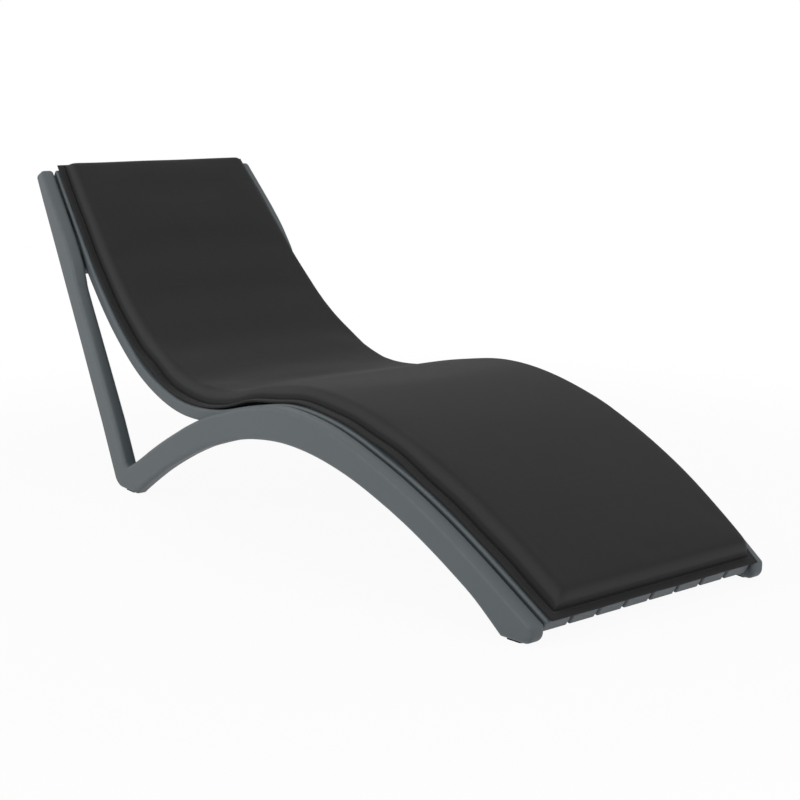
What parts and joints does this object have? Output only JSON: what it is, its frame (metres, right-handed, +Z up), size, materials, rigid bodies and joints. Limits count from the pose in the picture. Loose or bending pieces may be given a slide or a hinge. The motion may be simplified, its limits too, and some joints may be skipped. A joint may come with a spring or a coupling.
{
  "type": "sun lounger with cushion",
  "caption": "Fixed sun lounger with V-shaped side frames, lengthwise slats in an S curve and a loose full-length cushion with a flat sewn edge.",
  "frame": {"origin": "on the ground, below the middle of the frame's length and width", "axes": "+X along the lounger to the foot end, +Y to the sitter's left when lying down looking at the feet, +Z up"},
  "size_m": [1.7993, 0.662, 0.7265],
  "materials": {
    "grey_finish": "opaque matte dark grey paint",
    "bracket_steel": "zinc-plated steel plate",
    "screw_steel": "bare stainless steel",
    "glide": "matte black",
    "cushion_cover": "matte dark charcoal outdoor weave"
  },
  "bodies": {
    "frame": {"right_side_frame": "grey_finish", "left_side_frame": "grey_finish", "slat_1": "grey_finish", "slat_2": "grey_finish", "slat_3": "grey_finish", "slat_4": "grey_finish", "slat_5": "grey_finish", "slat_6": "grey_finish", "slat_7": "grey_finish", "slat_8": "grey_finish", "bearer_1": "grey_finish", "bearer_2": "grey_finish", "bearer_3": "grey_finish", "bearer_4": "grey_finish", "bearer_5": "grey_finish", "bearer_6": "grey_finish", "bracket_1_right": "bracket_steel", "bracket_1_left": "bracket_steel", "bracket_2_right": "bracket_steel", "bracket_2_left": "bracket_steel", "bracket_3_right": "bracket_steel", "bracket_3_left": "bracket_steel", "bracket_4_right": "bracket_steel", "bracket_4_left": "bracket_steel", "bracket_5_right": "bracket_steel", "bracket_5_left": "bracket_steel", "bracket_6_right": "bracket_steel", "bracket_6_left": "bracket_steel", "frame_screw_1_right": "screw_steel", "bearer_screw_1_right": "screw_steel", "frame_screw_1_left": "screw_steel", "bearer_screw_1_left": "screw_steel", "frame_screw_2_right": "screw_steel", "bearer_screw_2_right": "screw_steel", "frame_screw_2_left": "screw_steel", "bearer_screw_2_left": "screw_steel", "frame_screw_3_right": "screw_steel", "bearer_screw_3_right": "screw_steel", "frame_screw_3_left": "screw_steel", "bearer_screw_3_left": "screw_steel", "frame_screw_4_right": "screw_steel", "bearer_screw_4_right": "screw_steel", "frame_screw_4_left": "screw_steel", "bearer_screw_4_left": "screw_steel", "frame_screw_5_right": "screw_steel", "bearer_screw_5_right": "screw_steel", "frame_screw_5_left": "screw_steel", "bearer_screw_5_left": "screw_steel", "frame_screw_6_right": "screw_steel", "bearer_screw_6_right": "screw_steel", "frame_screw_6_left": "screw_steel", "bearer_screw_6_left": "screw_steel", "rear_glide_right": "glide", "rear_glide_left": "glide", "front_glide_right": "glide", "front_glide_left": "glide"},
    "cushion": {"cushion": "cushion_cover"}
  },
  "joints": [
    {"name": "cushion_lift", "type": "slide", "parent": "frame", "child": "cushion", "axis": [0, 0, 1], "range_m": [0, 0.8]}
  ]
}
